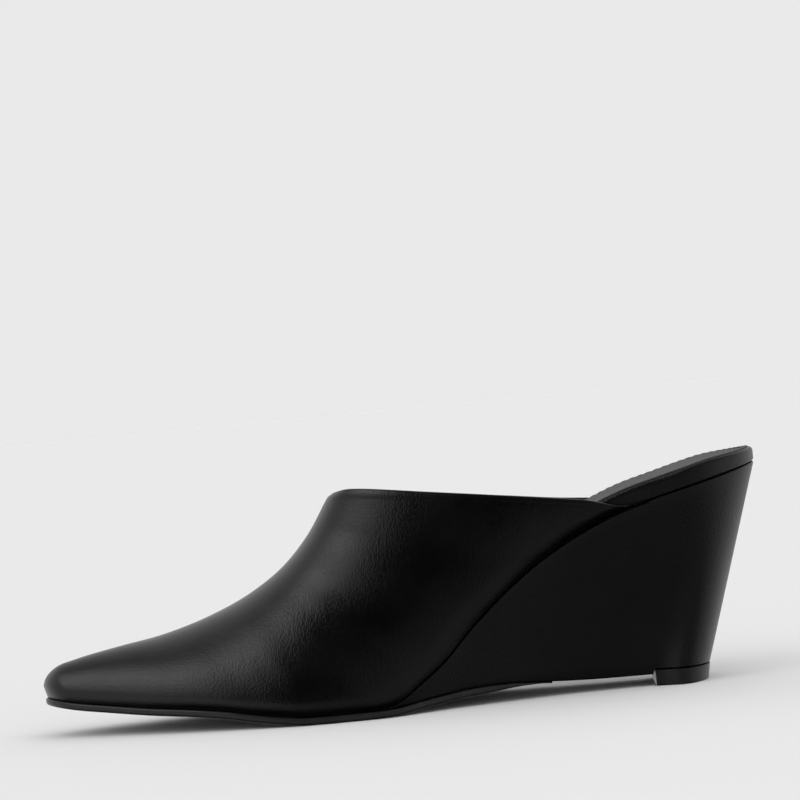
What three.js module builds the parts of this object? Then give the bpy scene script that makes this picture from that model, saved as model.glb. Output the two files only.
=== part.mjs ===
// Pointed wedge mule in smooth leather, a left shoe, with an open back.
//
// The shoe stands on z = 0. Its toe points towards -X and its heel towards +X.
// The outer side of the foot faces -Y and the inner side faces +Y.
// Lengths along the shoe are measured from the toe tip, and the finished group is centred at the end.

import * as THREE from 'three';
import { mergeVertices } from 'three/addons/utils/BufferGeometryUtils.js';

// Driving sizes, in millimetres

const LENGTH = 258; // toe tip to the back of the footbed, seen from above
const BALL_WIDTH = 77; // seam line across the ball of the foot
const SEAT_WIDTH = 57; // footbed across the heel seat
const BALL_SHARE = 0.45; // shares of the length between which the one width gives way to the other
const SEAT_SHARE = 0.7;
const HEEL_HEIGHT = 74.3; // floor to the underside of the footbed at its back edge
const TOE_SPRING = 11.5; // floor to the underside of the sole at the toe
const ARCH_RISE = 5; // how far the shoe's underside rises at the arch, behind the tread
const TIP_SHIFT = 3; // how far the toe tip lies towards the inner side
const TOE_OVERHANG = 1.2; // how far the nose of the upper reaches past its seam line

const THROAT_REACH = 108.5; // toe tip to the front of the collar
const INSTEP_RISE = 75; // sole line to the front of the collar
const COLLAR_REACH = 218.7; // toe tip to the rear tails of the collar
const WALL = 1.8; // leather and lining of the upper
const SEAM_ROLL = 1.6; // how far the upper swells out just above its seam line
const ROLL_HEIGHT = 9; // height over which it does so
const TAIL_DIP = 2; // how far the collar dips just before its tails

const OUTSOLE_THICKNESS = 2.6;
const OUTSOLE_MARGIN = 0.7; // the sole's lip past the seam line
const OUTSOLE_REACH = 180; // toe tip to the rear end of the sole
const SKIVE_LENGTH = 26; // length over which the sole thins there
const SKIVE_EDGE = 0.5; // thickness that is left at that end

const FOOTBED_RIM = 6.5; // thickness of the footbed at the heel
const FOOTBED_FRONT = 2.6; // thickness of the footbed at the toes
const TOES_SHARE = 0.35; // shares of the length between which the footbed thickens
const RIM_SHARE = 0.75;
const FOOTBED_EDGE = 1.1; // rounding of the footbed's edge
const FOOTBED_STEP = 12; // length over which it widens behind the collar's tails
const FOOTBED_DROP = 1.6; // how far its top rounds down at the very back
const FOOTBED_ROUND = 20; // length over which it does so
const SOCK_THICKNESS = 0.5;
const SOCK_INSET = 1.6; // edge of the footbed to edge of the sock lining

const WEDGE_LEAN = 21.9; // how far the back of the wedge leans in from top to bottom
const WEDGE_BASE_WIDTH = 37; // across the bottom of the wedge near its back
const TAP_FRONT_WIDTH = 30; // across it at the front edge of the heel tap
const WEDGE_FRONT_EDGE = 0.5; // thickness at the skived front edge
const TAP_LENGTH = 20;
const TAP_THICKNESS = 5.5;
const TAP_LEAN = 0.9; // how far the back of the tap leans in from top to bottom

const TOE_ROUND = 10; // length of the rounding at the toe tip
const SEAT_ROUND = 30; // length of the rounding behind the heel seat
const BASE_ROUND = 13; // length of the rounding at the back of the wedge's base
const CLEARANCE = 0.3; // between pieces that are glued together

// Tables, with lengths as shares of the sizes above

// Seam line seen from above: half widths as shares of the local width.
const PLAN = [
  { at: 0, outer: 0.088, inner: 0.088 },
  { at: 0.1, outer: 0.222, inner: 0.225 },
  { at: 0.2, outer: 0.353, inner: 0.358 },
  { at: 0.3, outer: 0.453, inner: 0.458 },
  { at: 0.4, outer: 0.507, inner: 0.49 },
  { at: 0.47, outer: 0.5, inner: 0.45 },
  { at: 0.56, outer: 0.474, inner: 0.404 },
  { at: 0.65, outer: 0.497, inner: 0.432 },
  { at: 0.75, outer: 0.494, inner: 0.472 },
  { at: 0.85, outer: 0.5, inner: 0.5 },
  { at: 1, outer: 0.5, inner: 0.5 },
];

// Top of the sole and underside of the wedge from the side: shares of the toe spring and of the arch rise.
const SOLE_LINE = [
  { at: 0, spring: 1, arch: 0 },
  { at: 0.03, spring: 0.9, arch: 0 },
  { at: 0.057, spring: 0.81, arch: 0 },
  { at: 0.085, spring: 0.74, arch: 0 },
  { at: 0.155, spring: 0.574, arch: 0 },
  { at: 0.226, spring: 0.443, arch: 0 },
  { at: 0.267, spring: 0.33, arch: 0 },
  { at: 0.3, spring: 0.2, arch: 0 },
  { at: 0.335, spring: 0.085, arch: 0 },
  { at: 0.372, spring: 0, arch: 0 },
  { at: 0.46, spring: 0, arch: 0 },
  { at: 0.494, spring: 0, arch: 0.06 },
  { at: 0.521, spring: 0, arch: 0.27 },
  { at: 0.548, spring: 0, arch: 0.45 },
  { at: 0.576, spring: 0, arch: 0.63 },
  { at: 0.604, spring: 0, arch: 0.73 },
  { at: 0.631, spring: 0, arch: 0.75 },
  { at: 0.66, spring: 0, arch: 0.67 },
  { at: 0.7, spring: 0, arch: 0.47 },
  { at: 0.745, spring: 0, arch: 0.33 },
  { at: 0.82, spring: 0, arch: 0.24 },
  { at: 1, spring: 0, arch: 0.2 },
];

// Seam line from the side: shares of the climb from the sole to the heel seat.
const SEAT_LINE = [
  { at: 0, climb: 0 },
  { at: 0.45, climb: 0 },
  { at: 0.475, climb: 0.006 },
  { at: 0.496, climb: 0.03 },
  { at: 0.524, climb: 0.1 },
  { at: 0.56, climb: 0.197 },
  { at: 0.594, climb: 0.323 },
  { at: 0.629, climb: 0.438 },
  { at: 0.67, climb: 0.557 },
  { at: 0.712, climb: 0.658 },
  { at: 0.755, climb: 0.742 },
  { at: 0.81, climb: 0.825 },
  { at: 0.87, climb: 0.884 },
  { at: 1, climb: 1 },
];

// Ridge of the vamp from the nose to the throat: shares of its reach and of its rise above the sole line.
const RIDGE = [
  { along: 0, rise: 0.056 },
  { along: 0.008, rise: 0.09 },
  { along: 0.025, rise: 0.122 },
  { along: 0.05, rise: 0.152 },
  { along: 0.113, rise: 0.192 },
  { along: 0.26, rise: 0.259 },
  { along: 0.41, rise: 0.318 },
  { along: 0.563, rise: 0.402 },
  { along: 0.718, rise: 0.536 },
  { along: 0.824, rise: 0.662 },
  { along: 0.906, rise: 0.793 },
  { along: 1, rise: 1 },
];

// Shape of the upper's sections from the toe to the collar.
// side: how high the wall climbs before it turns in, as a share of the section's height
// flare: how far it leans out on the way, as a share of the half width
// crown: how wide the top of the section stays, as a share of the half width
const SECTIONS = [
  { at: 0, side: 0.45, flare: 0, crown: 0.6 },
  { at: 0.1, side: 0.42, flare: 0.02, crown: 0.52 },
  { at: 0.3, side: 0.4, flare: 0.04, crown: 0.5 },
  { at: 0.5, side: 0.42, flare: 0.05, crown: 0.58 },
  { at: 0.7, side: 0.42, flare: 0.1, crown: 0.72 },
  { at: 0.85, side: 0.42, flare: 0.12, crown: 0.8 },
  { at: 1, side: 0.42, flare: 0.08, crown: 0.86 },
];
const RIDGE_LEAD = 0.6; // how far the ridge end of a section runs ahead of its seam end

// Collar line from its tails to the throat: lift off the straight line on each side, as a share of the tail dip.
const COLLAR_LINE = [
  { at: 0, outer: 0, inner: 0 },
  { at: 0.07, outer: -1, inner: -1.3 },
  { at: 0.12, outer: -0.75, inner: -1.35 },
  { at: 0.177, outer: -0.1, inner: -0.9 },
  { at: 0.254, outer: 0.15, inner: -0.8 },
  { at: 0.44, outer: 0.5, inner: -0.5 },
  { at: 0.69, outer: 0.8, inner: -0.15 },
  { at: 0.85, outer: 0.95, inner: 0.2 },
  { at: 0.94, outer: 0.8, inner: 0.4 },
  { at: 1, outer: 0, inner: 0 },
];
const COLLAR_FADE = 40; // power with which that lift fades away from the collar

// Mesh fineness

const UPPER_SECTIONS = 44;
const UPPER_STEPS = 15; // on each side of a section
const SEAM_CROWDING = 1.3; // power that brings the steps closer together near the seam
const SOLE_SECTIONS = 24;
const OVERLAP_SECTIONS = 16;
const ARCH_SECTIONS = 8;
const TAP_SECTIONS = 16;
const FOOTBED_SECTIONS = 56;
const STEP_WIDTH = 0.05; // the step over the tap is almost upright
const CROSS_STEPS = 4;
const EDGE_STEPS = 3;
const SLOPE_STEP = 0.01; // distance over which a slope is measured
const SEARCH_STEP = 0.1; // distance between the places tried in a search
const MERGE_DISTANCE = 1e-4; // points closer than this become one
const KEY_SCALE = 1000; // a point is looked up by its place in thousandths of a millimetre

const { lerp, clamp, smoothstep } = THREE.MathUtils;
const OUTER = -1;
const INNER = 1;

// The slope of a smooth curve at a row of a table: level at its peaks, and never steep enough to overshoot.
function slopeAt(rows, i, from, to) {
  const [a, b, c] = [rows[i - 1], rows[i], rows[i + 1]];
  const before = (b[to] - a[to]) / (b[from] - a[from]);
  const after = (c[to] - b[to]) / (c[from] - b[from]);
  if (before * after <= 0) return 0;
  const mean = (before * (c[from] - b[from]) + after * (b[from] - a[from])) / (c[from] - a[from]);
  return Math.sign(mean) * Math.min(Math.abs(mean), 3 * Math.abs(before), 3 * Math.abs(after));
}

// A smooth curve through one column of a table, as a function of another.
function curveOf(rows, from, to) {
  const last = rows.length - 1;
  const straight = (i) => (rows[i + 1][to] - rows[i][to]) / (rows[i + 1][from] - rows[i][from]);
  const between = rows.slice(1, last).map((_, i) => slopeAt(rows, i + 1, from, to));
  const slopes = [straight(0), ...between, straight(last - 1)];
  return (x) => {
    const place = clamp(x, rows[0][from], rows[last][from]);
    let i = 0;
    while (i < last - 1 && rows[i + 1][from] < place) i += 1;
    const span = rows[i + 1][from] - rows[i][from];
    const share = (place - rows[i][from]) / span;
    const square = share * share;
    const cube = square * share;
    return rows[i][to] * (2 * cube - 3 * square + 1) + rows[i + 1][to] * (3 * square - 2 * cube)
      + span * (slopes[i] * (cube - 2 * square + share) + slopes[i + 1] * (cube - square));
  };
}

// A cubic Bezier through four numbers.
function bezier(a, b, c, d, t) {
  const s = 1 - t;
  return s * s * s * a + 3 * s * s * t * b + 3 * s * t * t * c + t * t * t * d;
}

const planOuter = curveOf(PLAN, 'at', 'outer');
const planInner = curveOf(PLAN, 'at', 'inner');
const soleSpring = curveOf(SOLE_LINE, 'at', 'spring');
const soleArch = curveOf(SOLE_LINE, 'at', 'arch');
const seatClimb = curveOf(SEAT_LINE, 'at', 'climb');
const sectionSide = curveOf(SECTIONS, 'at', 'side');
const sectionFlare = curveOf(SECTIONS, 'at', 'flare');
const sectionCrown = curveOf(SECTIONS, 'at', 'crown');
const collarOuter = curveOf(COLLAR_LINE, 'at', 'outer');
const collarInner = curveOf(COLLAR_LINE, 'at', 'inner');

// Height lines of the shoe's bottom, all functions of the distance from the toe tip

function soleHeight(x) {
  return OUTSOLE_THICKNESS + TOE_SPRING * soleSpring(x / LENGTH) + ARCH_RISE * soleArch(x / LENGTH);
}

// The sole is skived thin where it ends below the wedge.
function treadHeight(x) {
  const skive = smoothstep(x, OUTSOLE_REACH - SKIVE_LENGTH, OUTSOLE_REACH);
  return soleHeight(x) - lerp(OUTSOLE_THICKNESS, SKIVE_EDGE, skive);
}

// The line that the upper and the footbed sit on: the sole in front and the wedge behind.
function seamHeight(x) {
  const climb = seatClimb(x / LENGTH);
  return OUTSOLE_THICKNESS + TOE_SPRING * soleSpring(x / LENGTH) + climb * (HEEL_HEIGHT - OUTSOLE_THICKNESS);
}

// Rounds a width to nothing over the given length, like the quarter of an ellipse.
function roundedEnd(distance, length) {
  const left = 1 - clamp(distance / length, 0, 1);
  return Math.sqrt(1 - left * left);
}

// The middle of the shoe seen from above, which turns towards the inner side at the toes.
function centreLine(x) {
  const share = clamp((x - TOE_OVERHANG) / (THROAT_REACH - TOE_OVERHANG), 0, 1);
  return TIP_SHIFT * (1 - share) ** 2;
}

// A point of the seam line seen from above.
function planPoint(x, side) {
  const place = x / LENGTH;
  const width = lerp(BALL_WIDTH, SEAT_WIDTH, smoothstep(place, BALL_SHARE, SEAT_SHARE));
  const half = width * (side === OUTER ? planOuter(place) : planInner(place));
  const ends = roundedEnd(x - TOE_OVERHANG, TOE_ROUND) * roundedEnd(LENGTH - x, SEAT_ROUND);
  return new THREE.Vector2(x, centreLine(x) + side * half * ends);
}

// Where the wedge's base begins to narrow, where its heel tap begins and where it ends.
const BASE_FRONT = BALL_SHARE * LENGTH;
const BASE_BACK = LENGTH - WEDGE_LEAN;
const TAP_FRONT = BASE_BACK - TAP_LENGTH;

// A point of the outline of sole and wedge where they face the floor, seen from above.
function basePoint(x, side) {
  const seam = planPoint(x, side);
  const narrowing = smoothstep(x, BASE_FRONT, TAP_FRONT);
  const widening = smoothstep(x, TAP_FRONT, BASE_BACK - BASE_ROUND / 2);
  const width = lerp(TAP_FRONT_WIDTH, WEDGE_BASE_WIDTH, widening) * roundedEnd(BASE_BACK - x, BASE_ROUND);
  return seam.setY(lerp(seam.y, (side * width) / 2, narrowing));
}

// The same outline moved inwards by an inset, at right angles to itself.
function insetPoint(outline, x, side, inset, limits) {
  const here = outline(x, side);
  const ahead = outline(Math.min(x + SLOPE_STEP, limits.to), side);
  const behind = outline(Math.max(x - SLOPE_STEP, limits.from), side);
  const along = ahead.sub(behind).normalize();
  return here.add(new THREE.Vector2(side * along.y, -side * along.x).multiplyScalar(inset));
}

// Distances from the toe tip, close together at both ends.
function spread(from, to, count) {
  return Array.from({ length: count + 1 }, (_, i) => lerp(from, to, (1 - Math.cos((Math.PI * i) / count)) / 2));
}

// Distances that are close together at the front end alone.
function spreadToFront(from, to, count) {
  return Array.from({ length: count + 1 }, (_, i) => lerp(to, from, Math.cos((Math.PI * i) / (2 * count))));
}

// Distances that are close together at the back end alone.
function spreadToBack(from, to, count) {
  return Array.from({ length: count + 1 }, (_, i) => lerp(from, to, Math.sin((Math.PI * i) / (2 * count))));
}

// Distances the same way apart.
function evenly(from, to, count) {
  return Array.from({ length: count + 1 }, (_, i) => lerp(from, to, i / count));
}

// Makes one closed geometry from triangles of points, and drops the triangles that have no area.
function solidFrom(triangles) {
  const positions = new Float32Array(triangles.flat().flatMap((p) => [p.x, p.y, p.z]));
  const loose = new THREE.BufferGeometry();
  loose.setAttribute('position', new THREE.BufferAttribute(positions, 3));
  const merged = mergeVertices(loose, MERGE_DISTANCE);
  const index = merged.getIndex().array;
  const kept = [];
  for (let i = 0; i < index.length; i += 3) {
    const [a, b, c] = [index[i], index[i + 1], index[i + 2]];
    if (a !== b && b !== c && a !== c) kept.push(a, b, c);
  }
  merged.setIndex(kept);
  merged.computeVertexNormals();
  return merged;
}

// The two triangles of a four-cornered patch.
function quad(a, b, c, d) {
  return [[a, b, c], [a, c, d]];
}

// Skins a row of closed rings and closes the first and the last one with a fan.
function loft(rings) {
  const triangles = [];
  for (let i = 0; i + 1 < rings.length; i += 1) {
    const [near, far] = [rings[i], rings[i + 1]];
    near.forEach((point, j) => {
      const k = (j + 1) % near.length;
      triangles.push(...quad(point, far[j], far[k], near[k]));
    });
  }
  const middle = (ring) => ring.reduce((sum, p) => sum.add(p), new THREE.Vector3()).divideScalar(ring.length);
  const first = rings[0];
  const last = rings[rings.length - 1];
  const [start, end] = [middle(first), middle(last)];
  if (first[0].distanceTo(start) > CLEARANCE / 2) {
    first.forEach((point, j) => triangles.push([point, first[(j + 1) % first.length], start]));
  }
  if (last[0].distanceTo(end) > CLEARANCE / 2) {
    last.forEach((point, j) => triangles.push([last[(j + 1) % last.length], point, end]));
  }
  return solidFrom(triangles);
}

// One ring of a slab: over the top from the outer to the inner edge, and back underneath.
// A station gives the edges of its top and bottom, and edge lists how far the wall stands in on the way down.
function slabRing(station, edge) {
  const { top, bottom } = station;
  const across = (face, share) => {
    const [outer, inner] = [face.edge(OUTER), face.edge(INNER)];
    const x = lerp(outer.x, inner.x, share);
    return new THREE.Vector3(x, lerp(outer.y, inner.y, share), face.height(x));
  };
  const wall = (side) => edge.map(({ down, inset }) => {
    const high = top.edge(side, inset);
    const low = bottom.edge(side, inset);
    const x = lerp(high.x, low.x, down);
    return new THREE.Vector3(x, lerp(high.y, low.y, down), lerp(top.height(high.x), bottom.height(low.x), down));
  });
  const shares = Array.from({ length: CROSS_STEPS - 1 }, (_, i) => (i + 1) / CROSS_STEPS);
  const overTop = shares.map((share) => across(top, share));
  const underneath = shares.map((share) => across(bottom, 1 - share));
  return [...overTop, ...wall(INNER), ...underneath, ...wall(OUTER).reverse()];
}

const SHARP_EDGE = [{ down: 0, inset: 0 }, { down: 1, inset: 0 }];

// An edge rounded like half an ellipse, standing in by the given depth at its top and bottom.
function roundEdge(depth) {
  return Array.from({ length: EDGE_STEPS + 1 }, (_, i) => {
    const down = i / EDGE_STEPS;
    return { down, inset: depth * (1 - Math.sqrt(1 - (2 * down - 1) ** 2)) };
  });
}

// A slab that follows an outline of the bottom, between two height lines.
function bottomSlab({ outline, stations, inset, top, bottom, edge }) {
  const limits = { from: TOE_OVERHANG, to: LENGTH };
  return loft(stations.map((x) => {
    const place = (side, more = 0) => insetPoint(outline, x, side, inset(x) + more, limits);
    return slabRing({ top: { edge: place, height: top }, bottom: { edge: place, height: bottom } }, edge);
  }));
}

// Pieces

// The front edge of the wedge lies where there is room for it between the sole and the seam line.
function wedgeFront() {
  let x = SOLE_LINE.findLast((row) => row.arch === 0).at * LENGTH;
  while (seamHeight(x) - soleHeight(x) < CLEARANCE + WEDGE_FRONT_EDGE) x += SEARCH_STEP;
  return x;
}

// Sole and wedge bend together where one lies on the other.
const overlapStations = evenly(wedgeFront(), OUTSOLE_REACH, OVERLAP_SECTIONS);

function outsole() {
  return bottomSlab({
    outline: basePoint,
    stations: [...spreadToFront(TOE_OVERHANG, overlapStations[0], SOLE_SECTIONS), ...overlapStations.slice(1)],
    inset: () => -OUTSOLE_MARGIN,
    top: soleHeight,
    bottom: treadHeight,
    edge: SHARP_EDGE,
  });
}

// The footbed lies inside the upper and comes out to the full outline behind the collar's tails.
function footbedInset(x) {
  return (WALL + CLEARANCE) * (1 - smoothstep(x, COLLAR_REACH, COLLAR_REACH + FOOTBED_STEP));
}

function footbedTop(x) {
  const thickness = lerp(FOOTBED_FRONT, FOOTBED_RIM, smoothstep(x, TOES_SHARE * LENGTH, RIM_SHARE * LENGTH));
  const drop = FOOTBED_DROP * smoothstep(x, LENGTH - FOOTBED_ROUND, LENGTH);
  return seamHeight(x) + CLEARANCE + thickness - drop;
}

function insoleBoard() {
  return bottomSlab({
    outline: planPoint,
    stations: spread(TOE_OVERHANG, LENGTH, FOOTBED_SECTIONS),
    inset: footbedInset,
    top: footbedTop,
    bottom: (x) => seamHeight(x) + CLEARANCE,
    edge: roundEdge(FOOTBED_EDGE),
  });
}

function sockLining() {
  return bottomSlab({
    outline: planPoint,
    stations: spread(TOE_OVERHANG, LENGTH, FOOTBED_SECTIONS),
    inset: (x) => footbedInset(x) + SOCK_INSET,
    top: (x) => footbedTop(x) + CLEARANCE + SOCK_THICKNESS,
    bottom: (x) => footbedTop(x) + CLEARANCE,
    edge: SHARP_EDGE,
  });
}

// The wedge stands on its base. Its sections lean back with its rear edge, and its base steps up over the tap.
function wedgeHeel() {
  const front = overlapStations[0];
  const highOf = (low) => front + ((low - front) * (LENGTH - front)) / (BASE_BACK - front);
  const step = TAP_FRONT - CLEARANCE;
  const ground = (low) => (low > step ? TAP_THICKNESS : soleHeight(low)) + CLEARANCE;
  const lows = [
    ...overlapStations,
    ...evenly(OUTSOLE_REACH, step, ARCH_SECTIONS).slice(1),
    ...spreadToBack(step + STEP_WIDTH, BASE_BACK, TAP_SECTIONS),
  ];
  return loft(lows.map((low) => slabRing({
    top: { edge: (side) => planPoint(highOf(low), side), height: seamHeight },
    bottom: { edge: (side) => basePoint(low, side), height: () => ground(low) },
  }, SHARP_EDGE)));
}

// The tap carries on the lean of the wedge: its lower outline is the upper one drawn in towards its front.
function heelTap() {
  const leaning = (x) => x - (TAP_LEAN * (x - TAP_FRONT)) / TAP_LENGTH;
  return loft(spreadToBack(TAP_FRONT, BASE_BACK, TAP_SECTIONS).map((x) => slabRing({
    top: { edge: (side) => basePoint(x, side), height: () => TAP_THICKNESS },
    bottom: { edge: (side) => basePoint(x, side).setX(leaning(x)), height: () => 0 },
  }, SHARP_EDGE)));
}

// The seam end of a section of the upper.
function seamEnd(share, side) {
  const x = lerp(TOE_OVERHANG, COLLAR_REACH, share);
  const plan = planPoint(x, side);
  return new THREE.Vector3(x, plan.y, seamHeight(x) + CLEARANCE);
}

// The ridge end of a section of the upper, found by its share of the ridge's length.
const ridgeCurve = new THREE.CatmullRomCurve3(RIDGE.map(({ along, rise }) => {
  const x = along * THROAT_REACH;
  return new THREE.Vector3(x, centreLine(x), seamHeight(x) + rise * INSTEP_RISE);
}), false, 'centripetal');

function ridgeEnd(share) {
  return ridgeCurve.getPointAt(clamp(share + RIDGE_LEAD * share * (1 - share), 0, 1));
}

// A point of the upper's outside. share runs from the toe to the collar, climb from the seam to the ridge.
function upperPoint(share, climb, side) {
  const low = seamEnd(share, side);
  const high = ridgeEnd(share);
  const up = bezier(0, sectionSide(share), 1, 1, climb);
  const out = bezier(1, 1 + sectionFlare(share), sectionCrown(share), 0, climb);
  const point = low.clone().lerp(high, up);
  const half = side * (low.y - high.y);
  const rolled = clamp((up * low.distanceTo(high)) / ROLL_HEIGHT, 0, 1);
  const roll = SEAM_ROLL * (1 - (1 - rolled) ** 2) * clamp(half / ROLL_HEIGHT, 0, 1) * (1 - climb) ** 2;
  point.y = high.y + side * (half * out + roll);
  const lift = side === OUTER ? collarOuter(up) : collarInner(up);
  point.z += TAIL_DIP * lift * share ** COLLAR_FADE;
  return point;
}

// The upper as a grid of points: a row for each section, from the outer seam over the ridge to the inner seam.
function upperGrid() {
  const climbs = Array.from({ length: UPPER_STEPS + 1 }, (_, i) => (i / UPPER_STEPS) ** SEAM_CROWDING);
  return Array.from({ length: UPPER_SECTIONS + 1 }, (_, i) => {
    const share = 1 - Math.cos((Math.PI * i) / (2 * UPPER_SECTIONS));
    const outer = climbs.map((climb) => upperPoint(share, climb, OUTER));
    const inner = climbs.map((climb) => upperPoint(share, climb, INNER)).reverse();
    return [...outer, ...inner.slice(1)];
  });
}

// Gives the grid a wall: the lining side lies one wall thickness inside the leather side.
function upper() {
  const grid = upperGrid();
  const skin = [];
  for (let i = 0; i + 1 < grid.length; i += 1) {
    for (let j = 0; j + 1 < grid[i].length; j += 1) {
      skin.push(...quad(grid[i][j], grid[i + 1][j], grid[i + 1][j + 1], grid[i][j + 1]));
    }
  }
  const outside = solidFrom(skin);
  const position = outside.getAttribute('position');
  const normal = outside.getAttribute('normal');
  const keyOf = (p) => [p.x, p.y, p.z].map((v) => Math.round(Math.fround(v) * KEY_SCALE)).join();
  const normals = new Map();
  for (let i = 0; i < position.count; i += 1) {
    normals.set(keyOf(new THREE.Vector3().fromBufferAttribute(position, i)),
      new THREE.Vector3().fromBufferAttribute(normal, i));
  }
  const lining = grid.map((row) => row.map((point, j) => {
    const inwards = normals.get(keyOf(point)).clone();
    const onSeam = j === 0 || j === row.length - 1;
    if (onSeam) inwards.setZ(0).normalize();
    const inside = point.clone().addScaledVector(inwards, -WALL);
    if (onSeam) inside.z = seamHeight(inside.x) + CLEARANCE;
    return inside;
  }));
  const triangles = [...skin];
  const last = grid.length - 1;
  const end = grid[0].length - 1;
  for (let i = 0; i < last; i += 1) {
    for (let j = 0; j < end; j += 1) {
      triangles.push(...quad(lining[i][j], lining[i][j + 1], lining[i + 1][j + 1], lining[i + 1][j]));
    }
    triangles.push(...quad(grid[i][0], lining[i][0], lining[i + 1][0], grid[i + 1][0]));
    triangles.push(...quad(grid[i][end], grid[i + 1][end], lining[i + 1][end], lining[i][end]));
  }
  for (let j = 0; j < end; j += 1) {
    triangles.push(...quad(grid[last][j], lining[last][j], lining[last][j + 1], grid[last][j + 1]));
  }
  return solidFrom(triangles);
}

// Finishes and assembly

function finish(color, roughness) {
  return new THREE.MeshStandardMaterial({ color, roughness, metalness: 0 });
}

function piece(name, geometry, material) {
  const mesh = new THREE.Mesh(geometry, material);
  mesh.name = name;
  return mesh;
}

const shoe = new THREE.Group();
shoe.add(piece('outsole', outsole(), finish('#232325', 0.5)));
shoe.add(piece('heel_tap', heelTap(), finish('#1d1d1f', 0.6)));
shoe.add(piece('wedge_heel', wedgeHeel(), finish('#141415', 0.38)));
shoe.add(piece('insole_board', insoleBoard(), finish('#19191b', 0.4)));
shoe.add(piece('sock_lining', sockLining(), finish('#3a3a3b', 0.6)));
shoe.add(piece('upper', upper(), finish('#101011', 0.32)));

// Centre the shoe over the origin, standing on z = 0.
const middle = new THREE.Box3().setFromObject(shoe).getCenter(new THREE.Vector3());
shoe.position.set(-middle.x, -middle.y, 0);

const group = new THREE.Group();
group.add(shoe);

export default group;
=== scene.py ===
"""Dresses a pointed wedge mule in smooth black leather for the render.

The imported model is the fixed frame. The shoe's form is worked out here a second time, from the same named
sizes and tables as the solids, but finely enough for the gloss of leather. Lengths inside the classes are in
millimetres from the toe tip, and Shoe.placed turns them into the frame's metres.
"""

import logging
import math
from dataclasses import dataclass
from enum import Enum
from functools import cached_property
from typing import Any, Callable, ClassVar

import bmesh
import bpy
import numpy as np
from mathutils import Matrix, Vector
from mathutils.kdtree import KDTree


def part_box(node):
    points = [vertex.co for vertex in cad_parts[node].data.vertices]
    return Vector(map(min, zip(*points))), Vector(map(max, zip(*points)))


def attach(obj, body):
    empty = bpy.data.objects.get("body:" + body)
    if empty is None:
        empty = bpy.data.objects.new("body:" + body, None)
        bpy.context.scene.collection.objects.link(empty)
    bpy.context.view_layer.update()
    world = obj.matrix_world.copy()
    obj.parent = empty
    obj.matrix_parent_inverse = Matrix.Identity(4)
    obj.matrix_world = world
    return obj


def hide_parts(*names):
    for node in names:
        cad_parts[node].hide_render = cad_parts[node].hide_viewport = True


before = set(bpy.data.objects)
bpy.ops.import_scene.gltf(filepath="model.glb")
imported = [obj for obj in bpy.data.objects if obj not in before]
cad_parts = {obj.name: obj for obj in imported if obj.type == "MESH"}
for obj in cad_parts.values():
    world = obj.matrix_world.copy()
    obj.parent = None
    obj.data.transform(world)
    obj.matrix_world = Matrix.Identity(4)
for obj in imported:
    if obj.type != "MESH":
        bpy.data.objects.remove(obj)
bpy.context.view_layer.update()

log = logging.getLogger("mule")
Array = np.ndarray
Colour = tuple[float, float, float]
Direction = tuple[float, float, float]
Outline = Callable[["Side", Any], tuple[Array, Array]]

TINY = 1e-9  # keeps a division by a length from failing where the length is nothing


class Side(Enum):
    """The two sides of the foot, as the sign of Y."""

    OUTER = -1
    INNER = 1


# Curves


def smoothstep(x: Array, start: float, end: float) -> Array:
    """Rises from 0 to 1 between start and end: 3t² - 2t³ of the share t of the way."""
    t = np.clip((x - start) / (end - start), 0, 1)
    return t * t * (3 - 2 * t)


def bezier(a: Any, b: Any, c: Any, d: Any, t: Array) -> Array:
    """The cubic Bezier curve through four numbers at the share t."""
    s = 1 - t
    return s**3 * a + 3 * s * s * t * b + 3 * s * t * t * c + t**3 * d


def rounded_end(distance: Array, length: float) -> Array:
    """A width that falls to nothing over a length, like the quarter of an ellipse."""
    left = 1 - np.clip(distance / length, 0, 1)
    return np.sqrt(1 - left * left)


def crowded_ends(start: float, end: float, count: int) -> Array:
    """Numbers from start to end that lie close together at both ends: half of 1 - cos."""
    return start + (end - start) * (1 - np.cos(np.linspace(0, math.pi, count + 1))) / 2


def crowded_start(start: float, end: float, count: int) -> Array:
    """Numbers from start to end that lie close together at the start: a quarter of 1 - cos."""
    return start + (end - start) * (1 - np.cos(np.linspace(0, math.pi / 2, count + 1)))


def crowded_end(start: float, end: float, count: int) -> Array:
    """Numbers from start to end that lie close together at the end: a quarter of a sine."""
    return start + (end - start) * np.sin(np.linspace(0, math.pi / 2, count + 1))


def unit(vectors: Array) -> Array:
    """The same directions with a length of one."""
    return vectors / np.maximum(np.linalg.norm(vectors, axis=-1, keepdims=True), TINY)


def run_along(points: Array) -> Array:
    """Distances along a line of points from its first point."""
    return np.concatenate([[0], np.cumsum(np.linalg.norm(np.diff(points, axis=0), axis=-1))])


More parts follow.
